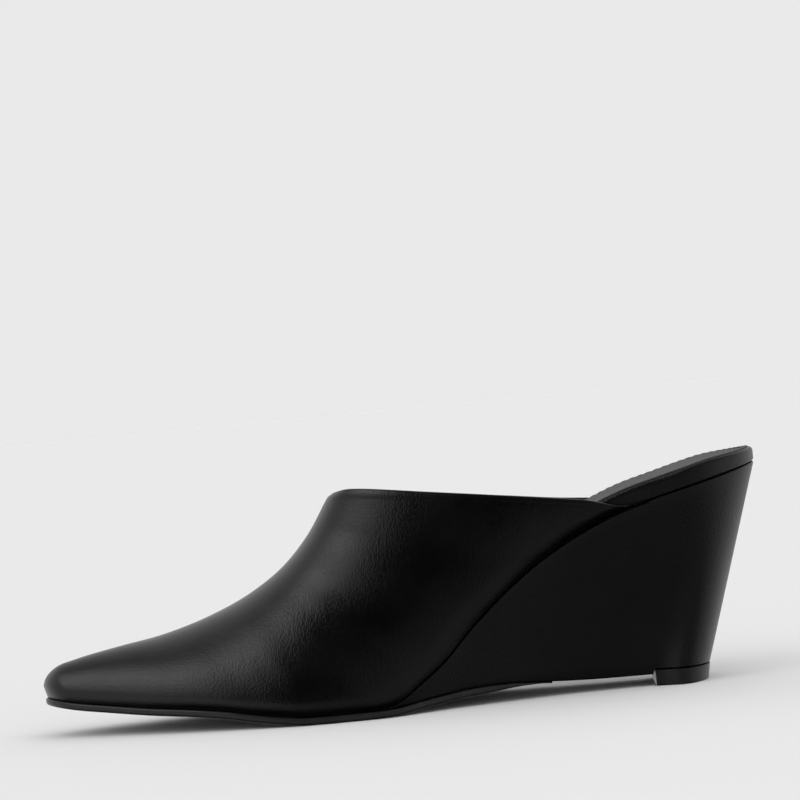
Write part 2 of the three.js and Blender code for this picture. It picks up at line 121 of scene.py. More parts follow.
@dataclass(frozen=True)
class TableCurve:
    """A smooth function through the rows of a table.

    The rows are joined by cubic pieces whose slopes are level at peaks and never overshoot. The curve is then
    averaged over a short window, so that its bend changes gradually too.
    """

    rows: tuple[tuple[float, float], ...]
    window: float = 0.05
    samples: int = 4000

    @cached_property
    def sampled(self) -> tuple[Array, Array]:
        """The curve at evenly spaced places.

        Returns:
            The places, and the curve's value at each.
        """
        at, value = np.array(self.rows).T
        span = np.diff(at)
        rise = np.diff(value) / span
        mean = (rise[:-1] * span[1:] + rise[1:] * span[:-1]) / (span[1:] + span[:-1])
        limit = 3 * np.minimum(np.abs(rise[:-1]), np.abs(rise[1:]))
        level = np.where(rise[:-1] * rise[1:] <= 0, 0, np.sign(mean) * np.minimum(np.abs(mean), limit))
        slope = np.concatenate([rise[:1], level, rise[-1:]])
        place = np.linspace(at[0], at[-1], self.samples + 1)
        i = np.clip(np.searchsorted(at, place, side="right") - 1, 0, len(span) - 1)
        t = (place - at[i]) / span[i]
        curve = (
            value[i] * (2 * t**3 - 3 * t**2 + 1)
            + value[i + 1] * (3 * t**2 - 2 * t**3)
            + span[i] * (slope[i] * (t**3 - 2 * t**2 + t) + slope[i + 1] * (t**3 - t**2))
        )
        reach = max(1, round(self.window / 2 * self.samples / (at[-1] - at[0])))
        before = 2 * curve[0] - curve[reach:0:-1]
        after = 2 * curve[-1] - curve[-2 : -reach - 2 : -1]
        weights = np.hanning(2 * reach + 3)[1:-1]
        return place, np.convolve(np.concatenate([before, curve, after]), weights / weights.sum(), "valid")

    def __call__(self, at: Any) -> Array:
        """The curve's value at a place or an array of places."""
        return np.interp(at, *self.sampled)


# The form of the shoe


@dataclass(frozen=True)
class Last:
    """The outlines and height lines that all the pieces share, in millimetres."""

    length: float = 258
    ball_width: float = 77
    seat_width: float = 57
    ball_share: float = 0.45
    seat_share: float = 0.7
    heel_height: float = 74.3
    toe_spring: float = 11.5
    arch_rise: float = 5
    tip_shift: float = 3
    toe_overhang: float = 1.2
    throat_reach: float = 108.5
    collar_reach: float = 218.7
    outsole_thickness: float = 2.6
    outsole_reach: float = 180
    skive_length: float = 26
    skive_edge: float = 0.15
    wedge_lean: float = 21.9
    base_width: float = 37
    tap_front_width: float = 30
    tap_length: float = 20
    tap_thickness: float = 5.5
    toe_round: float = 10
    seat_round: float = 30
    base_round: float = 13
    clearance: float = 0.3
    slope_step: float = 0.01

    plan_outer: ClassVar[TableCurve] = TableCurve(
        ((0, 0.088), (0.1, 0.222), (0.2, 0.353), (0.3, 0.453), (0.4, 0.507), (0.47, 0.5), (0.56, 0.474),
         (0.65, 0.497), (0.75, 0.494), (0.85, 0.5), (1, 0.5))
    )  # fmt: skip
    plan_inner: ClassVar[TableCurve] = TableCurve(
        ((0, 0.088), (0.1, 0.225), (0.2, 0.358), (0.3, 0.458), (0.4, 0.49), (0.47, 0.45), (0.56, 0.404),
         (0.65, 0.432), (0.75, 0.472), (0.85, 0.5), (1, 0.5))
    )  # fmt: skip
    spring: ClassVar[TableCurve] = TableCurve(
        ((0, 1), (0.03, 0.9), (0.057, 0.81), (0.085, 0.74), (0.155, 0.574), (0.226, 0.443), (0.267, 0.33),
         (0.3, 0.2), (0.335, 0.085), (0.372, 0), (0.46, 0), (1, 0)), window=0.02
    )  # fmt: skip
    arch: ClassVar[TableCurve] = TableCurve(
        ((0, 0), (0.46, 0), (0.494, 0.06), (0.521, 0.27), (0.548, 0.45), (0.576, 0.63), (0.604, 0.73),
         (0.631, 0.75), (0.66, 0.67), (0.7, 0.47), (0.745, 0.33), (0.82, 0.24), (1, 0.2)), window=0.03
    )  # fmt: skip
    climb: ClassVar[TableCurve] = TableCurve(
        ((0, 0), (0.45, 0), (0.475, 0.006), (0.496, 0.03), (0.524, 0.1), (0.56, 0.197), (0.594, 0.323),
         (0.629, 0.438), (0.67, 0.557), (0.712, 0.658), (0.755, 0.742), (0.81, 0.825), (0.87, 0.884), (1, 1)),
        window=0.03,
    )  # fmt: skip

    @property
    def base_back(self) -> float:
        """Where the wedge's base ends."""
        return self.length - self.wedge_lean

    @property
    def tap_front(self) -> float:
        """Where the heel tap begins."""
        return self.base_back - self.tap_length

    @property
    def limits(self) -> tuple[float, float]:
        """The first and last place of the outlines."""
        return self.toe_overhang, self.length

    def sole_height(self, x: Array) -> Array:
        """Top of the sole, and underside of the wedge: thickness plus toe spring plus arch."""
        share = x / self.length
        return self.outsole_thickness + self.toe_spring * self.spring(share) + self.arch_rise * self.arch(share)

    def tread_height(self, x: Array) -> Array:
        """Underside of the sole, which is skived thin where it ends below the wedge."""
        skive = smoothstep(x, self.outsole_reach - self.skive_length, self.outsole_reach)
        return self.sole_height(x) - self.outsole_thickness - (self.skive_edge - self.outsole_thickness) * skive

    def seam_height(self, x: Array) -> Array:
        """The line that the upper and the footbed sit on: the sole in front and the wedge behind.

        Args:
            x: places along the shoe.

        Returns:
            The line's heights.
        """
        share = x / self.length
        low = self.outsole_thickness + self.toe_spring * self.spring(share)
        return low + self.climb(share) * (self.heel_height - self.outsole_thickness)

    def centre_line(self, x: Array) -> Array:
        """The middle of the shoe from above, which turns inwards at the toes with the square of the distance."""
        share = np.clip((x - self.toe_overhang) / (self.throat_reach - self.toe_overhang), 0, 1)
        return self.tip_shift * (1 - share) ** 2

    def plan(self, x: Array, side: Side) -> Array:
        """The seam line from above: the centre line and a share of the local width, rounded at both ends.

        Args:
            x: places along the shoe.
            side: side of the foot.

        Returns:
            The line's y.
        """
        share = x / self.length
        blend = smoothstep(share, self.ball_share, self.seat_share)
        width = self.ball_width + (self.seat_width - self.ball_width) * blend
        table = self.plan_outer if side is Side.OUTER else self.plan_inner
        ends = rounded_end(x - self.toe_overhang, self.toe_round) * rounded_end(self.length - x, self.seat_round)
        return self.centre_line(x) + side.value * width * table(share) * ends

    def base(self, x: Array, side: Side) -> Array:
        """The outline that faces the floor: the seam line, narrowed to the base of the wedge.

        Args:
            x: places along the shoe.
            side: side of the foot.

        Returns:
            The outline's y.
        """
        narrowing = smoothstep(x, self.ball_share * self.length, self.tap_front)
        widening = smoothstep(x, self.tap_front, self.base_back - self.base_round / 2)
        width = self.tap_front_width + (self.base_width - self.tap_front_width) * widening
        half = width / 2 * rounded_end(self.base_back - x, self.base_round)
        return self.plan(x, side) * (1 - narrowing) + side.value * half * narrowing

    def drawn_in(
        self, outline: Callable[[Array, Side], Array], x: Array, side: Side, inset: Any, limits: tuple[float, float]
    ) -> tuple[Array, Array]:
        """Moves an outline inwards at right angles to itself.

        Args:
            outline: gives y from x and the side.
            x: places along the shoe.
            side: side of the foot.
            inset: how far inwards, for each place or for all.
            limits: first and last place of the outline.

        Returns:
            The moved places and their y.
        """
        ahead, behind = np.minimum(x + self.slope_step, limits[1]), np.maximum(x - self.slope_step, limits[0])
        dx, dy = ahead - behind, outline(ahead, side) - outline(behind, side)
        long = np.hypot(dx, dy)
        return x + side.value * dy / long * inset, outline(x, side) - side.value * dx / long * inset

    def seam_edge(self, x: Array, extra: Any = 0) -> Outline:
        """The seam line as the outline of a face, drawn in by an extra amount."""
        return lambda side, inset: self.drawn_in(self.plan, x, side, inset + extra, self.limits)

    def base_edge(self, x: Array, end: float, extra: float = 0) -> Outline:
        """The base's outline as that of a face, up to its end and drawn in by an extra amount."""
        return lambda side, inset: self.drawn_in(self.base, x, side, inset + extra, (self.toe_overhang, end))


# Mesh building


def combined(*columns: Any) -> Array:
    """Stacks x, y and z arrays, of any shapes that fit together, into points."""
    return np.stack(np.broadcast_arrays(*columns), axis=-1)


def grid_faces(rows: int, columns: int, wrap: bool) -> Array:
    """The quads of a grid of points that are numbered row by row.

    Args:
        rows: how many rows there are.
        columns: how many points are in each.
        wrap: whether the last column joins the first.

    Returns:
        Four point numbers for each quad.
    """
    here = np.arange(rows - 1)[:, None] * columns
    j = np.arange(columns if wrap else columns - 1)[None, :]
    k = (j + 1) % columns
    next_row = here + columns
    quads = np.stack(np.broadcast_arrays(here + j, next_row + j, next_row + k, here + k))
    return quads.reshape(4, -1).T


@dataclass(frozen=True)
class EdgeProfile:
    """How the wall of a slab runs from its top to its bottom.

    Both corners are rolled like a quarter of a circle, each over no more than its share of the wall, and the
    wall between them is straight.
    """

    top_roll: float
    bottom_roll: float
    roll_steps: int = 5
    wall_steps: int = 6
    most_rolled: float = 0.45

    def rows(self, height: Array) -> tuple[Array, Array]:
        """Works out the wall's rows.

        Args:
            height: height of the wall at each station.

        Returns:
            How far down each row lies as a share of the height, and how far it stands in, a row for each.
        """
        top = np.minimum(self.top_roll, self.most_rolled * height)[None, :]
        bottom = np.minimum(self.bottom_roll, self.most_rolled * height)[None, :]
        angle = np.linspace(0, math.pi / 2, self.roll_steps + 1)[:, None]
        middle = np.linspace(0, 1, self.wall_steps + 1)[1:-1, None]
        rolled_down, rolled_in = 1 - np.cos(angle), 1 - np.sin(angle)
        straight = top + (height[None, :] - top - bottom) * middle
        drop = np.concatenate([top * rolled_down, straight, height[None, :] - bottom * rolled_down[::-1]])
        inset = np.concatenate([top * rolled_in, np.zeros_like(straight), bottom * rolled_in[::-1]])
        return drop / height[None, :], inset


@dataclass(frozen=True)
class Face:
    """The top or the bottom of a slab: its outline, drawn in by an amount, and its height line."""

    edge: Outline
    height: Callable[[Array], Array]


def slab_rings(
    top: Face, bottom: Face, profile: EdgeProfile, across: int = 14, hollow: tuple[float, float] = (0, 0), cut: Any = 1
) -> Array:
    """Cross sections of a slab, each a closed ring over the top, down the inner wall, back and up the outer wall.

    Args:
        top: the slab's top.
        bottom: the slab's bottom.
        profile: how the wall runs between them.
        across: steps from side to side.
        hollow: how far the middles of top and bottom sink, with the square of the distance from the edge.
        cut: share of the way from top to bottom at which the slab ends, for each station or for all.

    Returns:
        Points as stations by ring by three.
    """

    def wall(side: Side) -> Array:
        """The rows of one side's wall, from the top to the bottom.

        Args:
            side: side of the foot.

        Returns:
            Points as stations by rows by three.
        """
        high_x, _ = top.edge(side, 0)
        low_x, _ = bottom.edge(side, 0)
        down, inset = profile.rows((top.height(high_x) - bottom.height(low_x)) * cut)
        points = []
        for share, depth in zip(down * cut, inset):
            upper_x, upper_y = top.edge(side, depth)
            lower_x, lower_y = bottom.edge(side, depth)
            high, low = top.height(high_x), bottom.height(low_x)
            points.append(
                combined(
                    upper_x + (lower_x - upper_x) * share,
                    upper_y + (lower_y - upper_y) * share,
                    high + (low - high) * share,
                )
            )
        return np.stack(points, axis=1)

    outer, inner = wall(Side.OUTER), wall(Side.INNER)
    share = np.linspace(0, 1, across + 1)[None, 1:-1, None]
    sink = np.array([0, 0, 1]) * (1 - (2 * share - 1) ** 2)
    over = outer[:, :1] + (inner[:, :1] - outer[:, :1]) * share - sink * hollow[0]
    under = inner[:, -1:] + (outer[:, -1:] - inner[:, -1:]) * share - sink * hollow[1]
    return np.concatenate([over, inner, under, outer[:, ::-1]], axis=1)


@dataclass
class Shoe:
    """Places the pieces in the frame and keeps what they share."""

    last: Last
    to_metres: float = 0.001
    weld: float = 2e-6
    sliver: float = 1e-7

    @cached_property
    def shift(self) -> Array:
        """From the toe tip to the frame's origin, read from the solids.

        Returns:
            The shift in millimetres.
        """
        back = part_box("insole_board")[1].x / self.to_metres
        tap_low, tap_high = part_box("heel_tap")
        return np.array([back - self.last.length, (tap_low.y + tap_high.y) / 2 / self.to_metres, 0])

    def placed(self, points: Array) -> Array:
        """Turns millimetres from the toe tip into metres in the frame."""
        return (points + self.shift) * self.to_metres

    def piece(
        self, name: str, points: Array, faces: list, material: bpy.types.Material, node: str | None, slot: str,
        crease: float = 50,
    ) -> bpy.types.Object:
        """Makes a finished piece of the shoe.

        Args:
            name: name of the object.
            points: its points, in millimetres from the toe tip.
            faces: its faces, as point numbers.
            material: its finish.
            node: the solid it stands for, if any.
            slot: not used.
            crease: angle in degrees above which an edge shades sharp.

        Returns:
            The object.
        """
        mesh = bpy.data.meshes.new(name)
        mesh.from_pydata(self.placed(points.reshape(-1, 3)).tolist(), [], faces)
        work = bmesh.new()
        work.from_mesh(mesh)
        bmesh.ops.remove_doubles(work, verts=work.verts, dist=self.weld)
        bmesh.ops.dissolve_degenerate(work, edges=work.edges, dist=self.sliver)
        bmesh.ops.recalc_face_normals(work, faces=work.faces)
        work.to_mesh(mesh)
        work.free()
        mesh.shade_smooth()
        mesh.set_sharp_from_angle(angle=math.radians(crease))
        mesh.materials.append(material)
        made = bpy.data.objects.new(name, mesh)
        bpy.context.collection.objects.link(made)
        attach(made, "root")
        if node:
            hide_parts(node)
        log.info("%s: %d faces", name, len(mesh.polygons))
        return made

    def slab(self, name: str, rings: Array, material: bpy.types.Material, node: str, slot: str) -> bpy.types.Object:
        """Skins cross sections and closes both ends.

        Args:
            name: name of the object.
            rings: closed cross sections, as stations by ring by three.
            material: its finish.
            node: the solid it stands for.
            slot: passed on to piece, which does not use it.

        Returns:
            The object.
        """
        stations, around = rings.shape[:2]
        faces = grid_faces(stations, around, wrap=True).tolist()
        faces.append(list(range(around)))
        faces.append(list(range((stations - 1) * around, stations * around))[::-1])
        return self.piece(name, rings, faces, material, node, slot)


# Finishes


class Value:
    """A number that varies over a surface, so that an expression on such numbers adds its Math nodes."""

    def __init__(self, nodes: "Nodes", socket: bpy.types.NodeSocket) -> None:
        """Wraps a socket of a node tree."""
        self.nodes = nodes
        self.socket = socket

    def math(self, operation: str, *values: Any) -> "Value":
        """Adds one Math node."""
        inputs = {str(i): value for i, value in enumerate(values)}
        return self.nodes.value("ShaderNodeMath", {"operation": operation}, **inputs)

    def __add__(self, other: Any) -> "Value":
        """The sum."""
        return self.math("ADD", self, other)

    def __sub__(self, other: Any) -> "Value":
        """The difference."""
        return self.math("SUBTRACT", self, other)

    def __rsub__(self, other: Any) -> "Value":
        """The difference the other way round."""
        return self.math("SUBTRACT", other, self)

    def __mul__(self, other: Any) -> "Value":
        """The product."""
        return self.math("MULTIPLY", self, other)

    def __abs__(self) -> "Value":
        """The size without the sign."""
        return self.math("ABSOLUTE", self)

    __radd__ = __add__
    __rmul__ = __mul__


class Nodes:
    """A node tree and the ways to add to it."""

    def __init__(self, tree: bpy.types.NodeTree) -> None:
        """Wraps the tree."""
        self.tree = tree

    def node(self, kind: str, settings: dict[str, Any], **inputs: Any) -> bpy.types.Node:
        """Adds a node.

        Args:
            kind: the node's type.
            settings: its own settings, set before its sockets.
            inputs: values or links of its sockets, by name or, where names repeat, by number.

        Returns:
            The node.
        """
        made = self.tree.nodes.new(kind)
        for key, setting in settings.items():
            setattr(made, key, setting)
        for key, given in inputs.items():
            self.feed(made.inputs[int(key) if key.isdigit() else key], given)
        return made

    def feed(self, socket: bpy.types.NodeSocket, given: Any) -> None:
        """Links a socket, or sets it where the value is a constant.

        Args:
            socket: the socket to fill.
            given: a varying number, another node's output, or a constant.
        """
        if isinstance(given, Value):
            self.tree.links.new(given.socket, socket)
        elif isinstance(given, bpy.types.NodeSocket):
            self.tree.links.new(given, socket)
        else:
            socket.default_value = given

    def link(self, kind: str, settings: dict[str, Any], output: str, **inputs: Any) -> bpy.types.NodeSocket:
        """Adds a node and gives one of its outputs."""
        return self.node(kind, settings, **inputs).outputs[output]

    def value(self, kind: str, settings: dict[str, Any], output: int | str = 0, **inputs: Any) -> Value:
        """Adds a node whose output is a number."""
        return Value(self, self.node(kind, settings, **inputs).outputs[output])

    def ramp(self, given: Value, low: float, high: float) -> Value:
        """0 below low, 1 above high, and smooth between."""
        limits = {"Value": given, "From Min": low, "From Max": high}
        return self.value("ShaderNodeMapRange", {"interpolation_type": "SMOOTHSTEP"}, **limits)


class Shader(Nodes):
    """A material's node tree, with one principled shader."""

    def __init__(self, name: str) -> None:
        """Makes an empty material.

        Args:
            name: the material's name.
        """
        self.material = bpy.data.materials.new(name)
        self.material.use_nodes = True
        super().__init__(self.material.node_tree)
        self.surface = self.tree.nodes["Principled BSDF"].inputs
        self.place = self.link("ShaderNodeTexCoord", {}, "Object")

    def noise(self, scale: float, detail: float = 2, roughness: float = 0.5) -> Value:
        """Soft noise, scale cells to the metre."""
        return self.value("ShaderNodeTexNoise", {}, Vector=self.place, Scale=scale, Detail=detail, Roughness=roughness)

    def cells(self, scale: float) -> Value:
        """Distance to the nearest of scattered points, scale cells to the metre."""
        return self.value("ShaderNodeTexVoronoi", {"feature": "F1"}, Vector=self.place, Scale=scale)

    def mixed(self, factor: Value, first: Any, second: Any) -> bpy.types.NodeSocket:
        """A colour between two colours.

        Args:
            factor: 0 for the first colour and 1 for the second.
            first: a constant or a link.
            second: a constant or a link.

        Returns:
            The output that carries the colour.
        """
        ends = [(*given, 1) if isinstance(given, tuple) else given for given in (first, second)]
        sockets = {"0": factor, "6": ends[0], "7": ends[1]}
        return self.node("ShaderNodeMix", {"data_type": "RGBA"}, **sockets).outputs[2]

    def bump(self, height: Value, depth: float) -> bpy.types.NodeSocket:
        """A bent normal from a height between 0 and 1, depth metres deep."""
        return self.link("ShaderNodeBump", {}, "Normal", Height=height, Distance=depth, Strength=1.0)

    def finished(self, colour: Any, roughness: Any, specular: float, height: Value, depth: float) -> bpy.types.Material:
        """Sets the principled shader.

        Args:
            colour: the link that carries the colour.
            roughness: a varying number or a constant.
            specular: strength of the mirror reflection.
            height: relief between 0 and 1.
            depth: depth of the relief in metres.

        Returns:
            The material.
        """
        self.surface["Specular IOR Level"].default_value = specular
        self.feed(self.surface["Base Color"], colour)
        self.feed(self.surface["Roughness"], roughness)
        self.feed(self.surface["Normal"], self.bump(height, depth))
        return self.material


@dataclass(frozen=True)
class Leather:
    """Smooth calf leather: fine pebbled grain, pores, slow ripples, and slow changes of polish.

    Scales are in cells to the metre, and depths in metres.
    """

    name: str
    colour: Colour = (0.0010, 0.0010, 0.0012)
    worn: Colour = (0.0019, 0.0019, 0.0022)
    roughness: float = 0.23
    unevenness: float = 0.08
    specular: float = 0.5
    grain_scale: float = 1500
    grain_depth: float = 5.3e-5
    pebble_range: tuple[float, float] = (0.05, 0.75)
    pore_scale: float = 3300
    pore_share: float = 0.5
    ripple_scale: float = 210
    ripple_depth: float = 4e-5
    patch_scale: float = 35
    worn_range: tuple[float, float] = (0.3, 0.75)
    polish_range: tuple[float, float] = (0.25, 0.8)
    lining: Colour | None = None
    lining_dullness: float = 0.25

    def build(self) -> bpy.types.Material:
        """Makes the material; a lining colour is used where the mesh's lining attribute is 1.

        Returns:
            The material.
        """
        shader = Shader(self.name)
        pebbles = shader.ramp(shader.cells(self.grain_scale), *self.pebble_range)
        pores = shader.noise(self.pore_scale, detail=3, roughness=0.65)
        patches = shader.noise(self.patch_scale, detail=3, roughness=0.55)
        ripples = shader.noise(self.ripple_scale)
        colour = shader.mixed(shader.ramp(patches, *self.worn_range), self.colour, self.worn)
        uneven = shader.ramp(patches, *self.polish_range) * self.unevenness
        polish = uneven + (self.roughness - self.unevenness / 2)
        if self.lining:
            inside = shader.value("ShaderNodeAttribute", {"attribute_name": "lining"}, output=2)
            colour = shader.mixed(inside, colour, self.lining)
            polish = polish + inside * self.lining_dullness
        relief = pebbles * (1 - pores * self.pore_share) + ripples * (self.ripple_depth / self.grain_depth)
        return shader.finished(colour, polish, self.specular, relief, self.grain_depth)


@dataclass(frozen=True)
class Rubber:
    """Dense black rubber with a satin skin and faint moulding marks."""

    name: str
    colour: Colour
    roughness: float
    specular: float = 0.4
    dusting: float = 1.5
    dust_scale: float = 120
    dust_range: tuple[float, float] = (0.35, 0.8)
    unevenness: float = 0.12
    skin_scale: float = 2600
    skin_depth: float = 2e-5

    def build(self) -> bpy.types.Material:
        """Makes the material.

        Returns:
            The material.
        """
        shader = Shader(self.name)
        dust = shader.noise(self.dust_scale, detail=4, roughness=0.6)
        lighter = tuple(c * self.dusting for c in self.colour)
        colour = shader.mixed(shader.ramp(dust, *self.dust_range), self.colour, lighter)
        roughness = dust * self.unevenness + (self.roughness - self.unevenness / 2)
        return shader.finished(colour, roughness, self.specular, shader.noise(self.skin_scale), self.skin_depth)


@dataclass(frozen=True)
class SockLeather:
    """Matt dark grey lining leather with an open nap."""

    name: str
    colour: Colour = (0.058, 0.058, 0.061)
    trodden: Colour = (0.075, 0.075, 0.079)
    roughness: float = 0.55
    unevenness: float = 0.15
    specular: float = 0.3
    cloud_scale: float = 60
    cloud_range: tuple[float, float] = (0.3, 0.75)
    nap_scale: float = 3000
    nap_depth: float = 6e-5

    def build(self) -> bpy.types.Material:
        """Makes the material.

        Returns:
            The material.
        """
        shader = Shader(self.name)
        cloudy = shader.noise(self.cloud_scale, detail=4, roughness=0.6)
        nap = shader.noise(self.nap_scale, detail=3, roughness=0.7)
        colour = shader.mixed(shader.ramp(cloudy, *self.cloud_range), self.colour, self.trodden)
        return shader.finished(colour, nap * self.unevenness + self.roughness, self.specular, nap, self.nap_depth)


@dataclass(frozen=True)
class Thread:
    """Waxed grey thread, twisted."""

    name: str
    colour: Colour = (0.17, 0.17, 0.175)
    shading: float = 0.6
    roughness: float = 0.5
    specular: float = 0.5
    twist_scale: float = 4000
    twist_depth: float = 5e-5

    def build(self) -> bpy.types.Material:
        """Makes the material.

        Returns:
            The material.
        """
        shader = Shader(self.name)
        twist = shader.noise(self.twist_scale)
        # Painted shade: the twist's low parts, on the same noise as the relief, are darkened by the shading share, as
        # shade in the grooves between strands
        colour = shader.mixed(twist, tuple(c * self.shading for c in self.colour), self.colour)
        return shader.finished(colour, self.roughness, self.specular, twist, self.twist_depth)


# Pieces


@dataclass
class Upper:
    """The closed vamp and its quarters, cut in one, with a folded top edge and a lining."""

    shoe: Shoe
    instep_rise: float = 75
    wall: float = 1.8
    seam_roll: float = 1.6
    roll_height: float = 9
    tail_dip: float = 2
    ridge_lead: float = 0.6
    ridge_window: float = 0.04
    ridge_samples: int = 3000
    collar_fade: float = 40
    sections: int = 300
    steps: int = 52
    seam_crowding: float = 1.3
    bead: float = 0.06
    bead_width: float = 0.9
    groove: float = 0.035
    groove_place: float = 3.4
    edge_roll: float = 0.35
    edge_roll_reach: float = 1.4
    throat_roll: float = 0.9
    throat_roll_reach: float = 4.5
    throat_half_width: float = 9
    tuck: float = 0.75
    tuck_height: float = 3.2
    tuck_fade: float = 30
    tail_fade: float = 9
    tail_skive: float = 0.5
    tail_hold: float = 1.5
    fold_steps: int = 8
    mark_reach: float = 1e-5

    ridge_rows: ClassVar[tuple[tuple[float, float], ...]] = (
        (0, 0.056), (0.008, 0.09), (0.025, 0.122), (0.05, 0.152), (0.113, 0.192), (0.26, 0.259), (0.41, 0.318),
        (0.563, 0.402), (0.718, 0.536), (0.824, 0.662), (0.906, 0.793), (1, 1),
    )  # fmt: skip
    side_share: ClassVar[TableCurve] = TableCurve(
        ((0, 0.45), (0.1, 0.42), (0.3, 0.4), (0.5, 0.42), (0.7, 0.42), (0.85, 0.42), (1, 0.42)), window=0.1
    )
    flare: ClassVar[TableCurve] = TableCurve(
        ((0, 0), (0.1, 0.02), (0.3, 0.04), (0.5, 0.05), (0.7, 0.1), (0.85, 0.12), (1, 0.08)), window=0.1
    )
    crown: ClassVar[TableCurve] = TableCurve(
        ((0, 0.6), (0.1, 0.52), (0.3, 0.5), (0.5, 0.58), (0.7, 0.72), (0.85, 0.8), (1, 0.86)), window=0.1
    )
    collar_outer: ClassVar[TableCurve] = TableCurve(
        ((0, 0), (0.07, -1), (0.12, -0.75), (0.177, -0.1), (0.254, 0.15), (0.44, 0.5), (0.69, 0.8), (0.85, 0.95),
         (0.94, 0.8), (1, 0))
    )  # fmt: skip
    collar_inner: ClassVar[TableCurve] = TableCurve(
        ((0, 0), (0.07, -0.95), (0.12, -0.85), (0.177, -0.7), (0.254, -0.75), (0.44, -0.5), (0.69, -0.15),
         (0.85, 0.2), (0.94, 0.4), (1, 0))
    )  # fmt: skip

    def ridge(self, share: Array) -> Array:
        """The ridge of the vamp at shares of its length.

        The rows of the ridge's table, as heights above the seam line, are joined by a curve over the distance
        run along them, which is then read at even distances.

        Args:
            share: places between the toe and the throat.

        Returns:
            The ridge's points.
        """
        last = self.shoe.last
        along, rise = np.array(self.ridge_rows).T
        x = along * last.throat_reach
        z = last.seam_height(x) + rise * self.instep_rise
        run = run_along(combined(x, z))
        run /= run[-1]
        x_of = TableCurve(tuple(zip(run, x)), window=self.ridge_window)
        z_of = TableCurve(tuple(zip(run, z)), window=self.ridge_window)
        even = np.linspace(0, 1, self.ridge_samples + 1)
        run_of = run_along(combined(x_of(even), z_of(even)))
        at = np.interp(np.clip(share + self.ridge_lead * share * (1 - share), 0, 1), run_of / run_of[-1], even)
        return combined(x_of(at), last.centre_line(x_of(at)), z_of(at))

    def half(self, side: Side, share: Array, climb: Array) -> Array:
        """One side of the leather as a grid, sections by steps from the seam to the ridge.

        Each section runs from a point of the seam line to a point of the ridge. One Bezier curve gives its
        height on the way and another its width, and a small roll swells it just above the seam.

        Args:
            side: side of the foot.
            share: where the grid's points lie between the toe and the collar.
            climb: where they lie between the seam and the ridge.

        Returns:
            The points.
        """
        last = self.shoe.last
        high = self.ridge(share)
        x = last.toe_overhang + (last.collar_reach - last.toe_overhang) * share
        low = combined(x, last.plan(x, side), last.seam_height(x) + last.clearance)
        up = bezier(0, self.side_share(share), 1, 1, climb)
        out = bezier(1, 1 + self.flare(share), self.crown(share), 0, climb)
        half = side.value * (low[..., 1] - high[..., 1])
        rolled = np.clip(up * np.linalg.norm(high - low, axis=-1) / self.roll_height, 0, 1)
        swell = 1 - (1 - rolled) ** 2
        roll = self.seam_roll * swell * np.clip(half / self.roll_height, 0, 1) * (1 - climb) ** 2
        points = low + (high - low) * up[..., None]
        points[..., 1] = high[..., 1] + side.value * (half * out + roll)
        table = self.collar_outer if side is Side.OUTER else self.collar_inner
        points[..., 2] += self.tail_dip * table(up) * share**self.collar_fade
        return points

    def skin(self) -> Array:
        """The leather side from the outer seam over the ridge to the inner seam.

        It stops short of the collar line by half the wall, which the folded edge then fills, and by nothing
        at the very tails.

        Returns:
            Points as sections by columns by three.
        """
        share = crowded_start(0, 1, self.sections)[:, None]
        climb = (np.linspace(0, 1, self.steps + 1) ** self.seam_crowding)[None, :]
        halves = []
        for side in Side:
            whole = self.half(side, share + 0 * climb, climb)
            speed = np.linalg.norm(whole[-1] - whole[-2], axis=-1) / (share[-1] - share[-2])
            trim = self.wall / 2 * self.off_tail(self.from_first(whole, 1))[-1] / speed
            halves.append(self.half(side, share * (1 - trim), climb))
        outer, inner = halves
        return np.concatenate([outer, inner[:, -2::-1]], axis=1)

    def off_tail(self, from_seam: Array) -> Array:
        """Rises from 0 at the seam to 1 at a small distance from it."""
        return smoothstep(from_seam, 0, self.tail_fade)

    @staticmethod
    def from_first(grid: Array, axis: int) -> Array:
        """Distances along the rows or columns of a grid from its first point.

        Args:
            grid: points as rows by columns by three.
            axis: 0 along the columns, 1 along the rows.

        Returns:
            A distance for each point.
        """
        steps = np.linalg.norm(np.diff(grid, axis=axis), axis=-1)
        run = np.cumsum(steps, axis=axis)
        return np.concatenate([np.zeros_like(np.take(run, [0], axis=axis)), run], axis=axis)

    def normals(self, grid: Array, held: Array) -> Array:
        """Outward directions of the grid: the cross product of its two central differences.

        Args:
            grid: the leather's points.
            held: share, from 0 to 1, of a plain sideways direction, which the tails have.

        Returns:
            The directions.
        """
        along = np.gradient(grid, axis=0)
        across = np.gradient(grid, axis=1)
        normal = np.cross(along, across)
        normal[0] = np.array([-1.0, 0, 0])
        normal = unit(normal)
        sideways = np.zeros_like(normal)
        sideways[..., 1] = np.where(np.arange(grid.shape[1]) < self.steps, Side.OUTER.value, Side.INNER.value)
        return unit(normal + (sideways - normal) * held[..., None])

